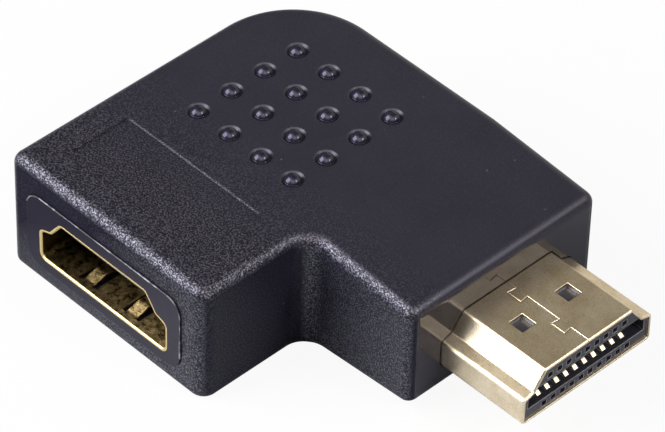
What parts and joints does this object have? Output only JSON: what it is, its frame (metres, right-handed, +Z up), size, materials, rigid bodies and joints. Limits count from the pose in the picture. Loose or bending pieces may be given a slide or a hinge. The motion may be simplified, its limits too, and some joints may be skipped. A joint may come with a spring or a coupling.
{
  "type": "right angle digital video adapter",
  "caption": "Flat L-shaped moulded adapter with a gold-toned video plug on one arm and a matching socket on the other, turning the connection sideways by a right angle.",
  "frame": {"origin": "centre of the footprint's bounding box, on the underside", "axes": "+X the way the plug points, -Y the way the socket faces, +Z up from the flat underside"},
  "size_m": [0.0418, 0.0306, 0.0116],
  "materials": {
    "overmould_black": "fine spark-eroded grain",
    "inner_mould_black": "smooth satin",
    "board_green": "solder mask",
    "insulator_black": "smooth satin",
    "plug_plating": "pale gold plated sheet",
    "socket_plating": "gold plated sheet",
    "contact_gold": "gold plated"
  },
  "bodies": {
    "root": {"overmould": "overmould_black", "grip_pips": "overmould_black", "inner_mould": "inner_mould_black", "circuit_board": "board_green", "plug_shell": "plug_plating", "plug_insulator": "insulator_black", "socket_shell": "socket_plating", "socket_insulator": "insulator_black", "plug_contact_1": "contact_gold", "plug_contact_2": "contact_gold", "plug_contact_3": "contact_gold", "plug_contact_4": "contact_gold", "plug_contact_5": "contact_gold", "plug_contact_6": "contact_gold", "plug_contact_7": "contact_gold", "plug_contact_8": "contact_gold", "plug_contact_9": "contact_gold", "plug_contact_10": "contact_gold", "plug_contact_11": "contact_gold", "plug_contact_12": "contact_gold", "plug_contact_13": "contact_gold", "plug_contact_14": "contact_gold", "plug_contact_15": "contact_gold", "plug_contact_16": "contact_gold", "plug_contact_17": "contact_gold", "plug_contact_18": "contact_gold", "plug_contact_19": "contact_gold", "socket_contact_1": "contact_gold", "socket_contact_2": "contact_gold", "socket_contact_3": "contact_gold", "socket_contact_4": "contact_gold", "socket_contact_5": "contact_gold", "socket_contact_6": "contact_gold", "socket_contact_7": "contact_gold", "socket_contact_8": "contact_gold", "socket_contact_9": "contact_gold", "socket_contact_10": "contact_gold", "socket_contact_11": "contact_gold", "socket_contact_12": "contact_gold", "socket_contact_13": "contact_gold", "socket_contact_14": "contact_gold", "socket_contact_15": "contact_gold", "socket_contact_16": "contact_gold", "socket_contact_17": "contact_gold", "socket_contact_18": "contact_gold", "socket_contact_19": "contact_gold"}
  },
  "joints": []
}
